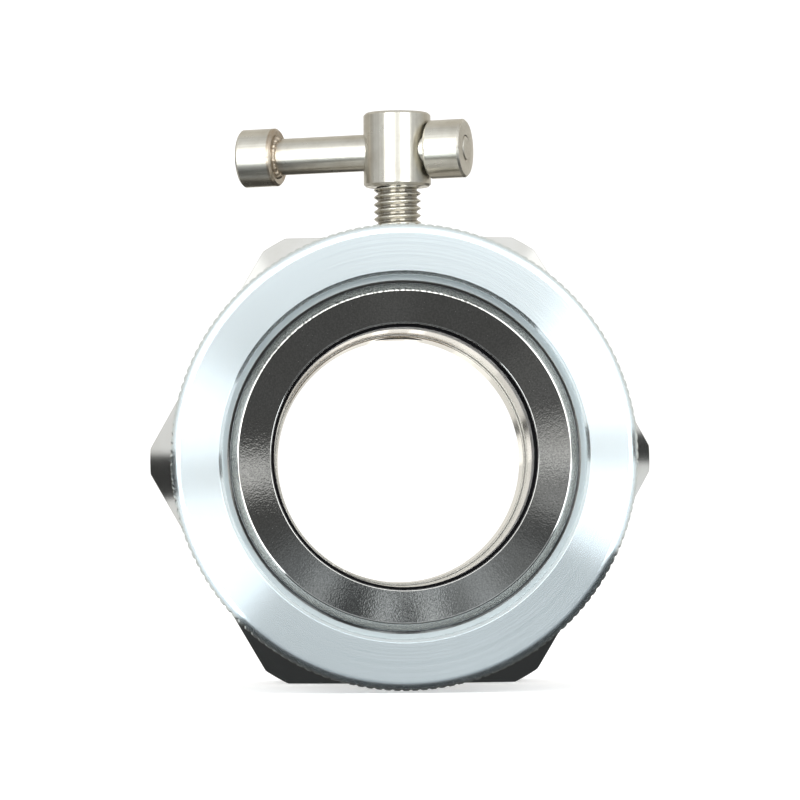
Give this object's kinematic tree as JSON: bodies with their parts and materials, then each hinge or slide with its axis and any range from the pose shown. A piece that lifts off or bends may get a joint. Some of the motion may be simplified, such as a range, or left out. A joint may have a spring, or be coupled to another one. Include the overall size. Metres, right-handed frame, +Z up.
{
  "type": "sight glass",
  "caption": "Clamp-on sight glass: hexagonal body and tube socket, glass disc behind a gland and knurled ring nut, radial clamp screw with sliding tommy bar.",
  "frame": {"origin": "where the sight axis crosses the clamp screw's axis, inside the tube socket", "axes": "+Y along the sight axis out of the rear tube socket, -Y is the viewing side, +Z up the clamp screw"},
  "size_m": [0.0842, 0.0568, 0.0969],
  "materials": {
    "nickel_plate": "nickel plated, polished over fine turning marks",
    "turned_aluminium": "satin, fine facing marks",
    "stainless": "turned, bright",
    "weld": "rough weld, heat tinted",
    "spring_wire": "drawn wire",
    "pad_brass": "turned",
    "black_rubber": "matt",
    "ptfe": "matt",
    "fibre_gasket": "matt",
    "clear_glass": "polished, ground edge"
  },
  "bodies": {
    "body": {"hex_body": "nickel_plate", "face_seal": "black_rubber", "neck_gasket": "fibre_gasket", "sight_neck": "nickel_plate", "gland_pins": "spring_wire", "rear_gasket": "ptfe", "sight_disc": "clear_glass", "glass_sleeve": "ptfe", "front_gasket": "black_rubber"},
    "gland": {"gland_ring": "nickel_plate", "slip_washer": "stainless"},
    "nut": {"ring_nut": "turned_aluminium", "retaining_wire": "spring_wire"},
    "pad": {"thrust_pad": "pad_brass", "pad_clip": "spring_wire"},
    "screw": {"clamp_screw": "stainless"},
    "bar": {"tommy_bar": "stainless", "bar_cap_riveted": "stainless", "bar_cap_welded": "stainless", "cap_weld": "weld"}
  },
  "joints": [
    {"name": "nut_travel", "type": "slide", "parent": "body", "child": "gland", "axis": [0, -1, 0], "range_m": [0, 0.0085]},
    {"name": "nut_turn", "type": "hinge", "parent": "gland", "child": "nut", "pos_m": [0, -0.035, 0], "axis": [0, -1, 0], "range_deg": [0, 1530]},
    {"name": "clamp_travel", "type": "slide", "parent": "body", "child": "pad", "axis": [0, 0, 1], "range_m": [-0.0075, 0.0075]},
    {"name": "clamp_turn", "type": "hinge", "parent": "pad", "child": "screw", "pos_m": [0, 0, 0.04], "axis": [0, 0, 1], "range_deg": [-2160, 2160]},
    {"name": "bar_slide", "type": "slide", "parent": "screw", "child": "bar", "axis": [0.9499, -0.3123, 0.0122], "range_m": [0, 0.0142]}
  ],
  "couplings": [
    {"joint": "nut_travel", "follows": "nut_turn", "m_per_rad": 0.00031831},
    {"joint": "clamp_travel", "follows": "clamp_turn", "m_per_rad": 0.00019894}
  ]
}
